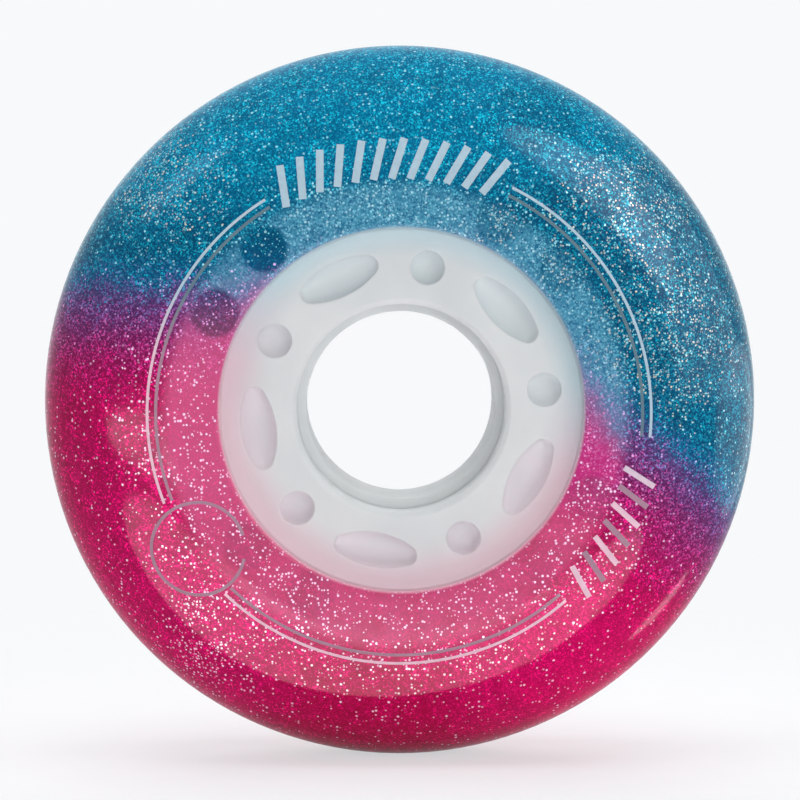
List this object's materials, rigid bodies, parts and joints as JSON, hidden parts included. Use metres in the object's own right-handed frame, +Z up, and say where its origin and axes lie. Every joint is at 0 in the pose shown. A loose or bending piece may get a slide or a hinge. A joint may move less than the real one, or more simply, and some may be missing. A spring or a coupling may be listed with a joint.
{
  "type": "inline skate wheel",
  "caption": "Inline skate wheel that lights up: a blue and pink glitter urethane tyre cast round a milky white core, with a bearing seat in each face and light units sealed inside.",
  "frame": {"origin": "centre of the wheel: middle of the stop ring's bore, on the axle line", "axes": "+Y along the axle, from the printed face to the plain face; +Z up in the picture; +X to the right seen from the printed face"},
  "size_m": [0.076, 0.024, 0.076],
  "materials": {
    "blue_urethane": "clear glossy urethane with fine glitter",
    "pink_urethane": "clear glossy urethane with fine glitter",
    "milky_nylon": "satin, milky and a little translucent",
    "soft_iron": "bare, drawn square wire",
    "black_nylon": "matt",
    "copper_wire": "enamelled wire",
    "clear_epoxy": "clear and glossy"
  },
  "bodies": {
    "root": {"tyre_blue": "blue_urethane", "tyre_pink": "pink_urethane", "core_front": "milky_nylon", "core_rear": "milky_nylon", "pole_piece_1": "soft_iron", "pole_piece_2": "soft_iron", "pole_piece_3": "soft_iron", "pole_piece_4": "soft_iron", "bobbin_1": "black_nylon", "bobbin_2": "black_nylon", "bobbin_3": "black_nylon", "bobbin_4": "black_nylon", "winding_1": "copper_wire", "winding_2": "copper_wire", "winding_3": "copper_wire", "winding_4": "copper_wire", "lamp_1": "clear_epoxy", "lamp_2": "clear_epoxy", "lamp_3": "clear_epoxy", "lamp_4": "clear_epoxy"}
  },
  "joints": []
}
